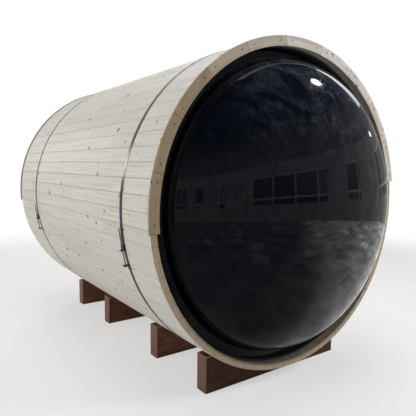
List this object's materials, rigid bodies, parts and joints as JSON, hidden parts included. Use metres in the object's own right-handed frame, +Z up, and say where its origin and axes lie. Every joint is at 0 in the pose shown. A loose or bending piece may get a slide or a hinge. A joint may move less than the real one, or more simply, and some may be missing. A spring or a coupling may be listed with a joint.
{
  "type": "barrel sauna",
  "caption": "Lying barrel of timber staves on cradles, drawn together by steel hoops, with a black dome window in front and a boarded wall with a door behind.",
  "frame": {"origin": "on the ground, below the middle of the whole length and width", "axes": "+Z up, +Y along the barrel towards the door, so the dome looks along -Y; +X to the right of someone who looks along +Y"},
  "size_m": [2.1388, 3.0384, 2.1973],
  "materials": {
    "spruce_stave": "planed spruce, unfinished",
    "spruce_fascia": "planed spruce, unfinished",
    "spruce_board": "planed spruce, unfinished",
    "spruce_ring": "sawn spruce, unfinished",
    "black_acrylic": "thermoformed black acrylic, glossy",
    "black_seal": "black sealing bead, matt",
    "hoop_steel": "rolled stainless strap",
    "bolt_steel": "zinc-plated bolt and nut",
    "stained_plank": "dark brown stained softwood",
    "hinge_steel": "black painted steel",
    "handle_wood": "turned hardwood, oiled"
  },
  "bodies": {
    "root": {"cradle_front": "stained_plank", "cradle_front_middle": "stained_plank", "cradle_rear": "stained_plank", "cradle_rear_middle": "stained_plank", "dome_seal": "black_seal", "dome_seat_ring": "spruce_ring", "dome_window": "black_acrylic", "door_boards": "spruce_board", "door_handle": "handle_wood", "door_head": "spruce_board", "door_hinges": "hinge_steel", "door_jamb_left": "spruce_board", "door_jamb_right": "spruce_board", "door_ledges": "spruce_board", "door_sill": "spruce_board", "front_fascia": "spruce_fascia", "front_hoop_left_bolt": "bolt_steel", "front_hoop_lower_strap": "hoop_steel", "front_hoop_right_bolt": "bolt_steel", "front_hoop_upper_strap": "hoop_steel", "rear_fascia": "spruce_fascia", "rear_hoop_left_bolt": "bolt_steel", "rear_hoop_lower_strap": "hoop_steel", "rear_hoop_right_bolt": "bolt_steel", "rear_hoop_upper_strap": "hoop_steel", "rear_wall_left": "spruce_board", "rear_wall_over_door": "spruce_board", "rear_wall_right": "spruce_board", "rear_wall_under_door": "spruce_board", "stave_belly_left": "spruce_stave", "stave_belly_right": "spruce_stave", "stave_roof_left": "spruce_stave", "stave_roof_right": "spruce_stave", "stave_wall_left_lower": "spruce_stave", "stave_wall_left_upper": "spruce_stave", "stave_wall_right_lower": "spruce_stave", "stave_wall_right_upper": "spruce_stave"}
  },
  "joints": []
}
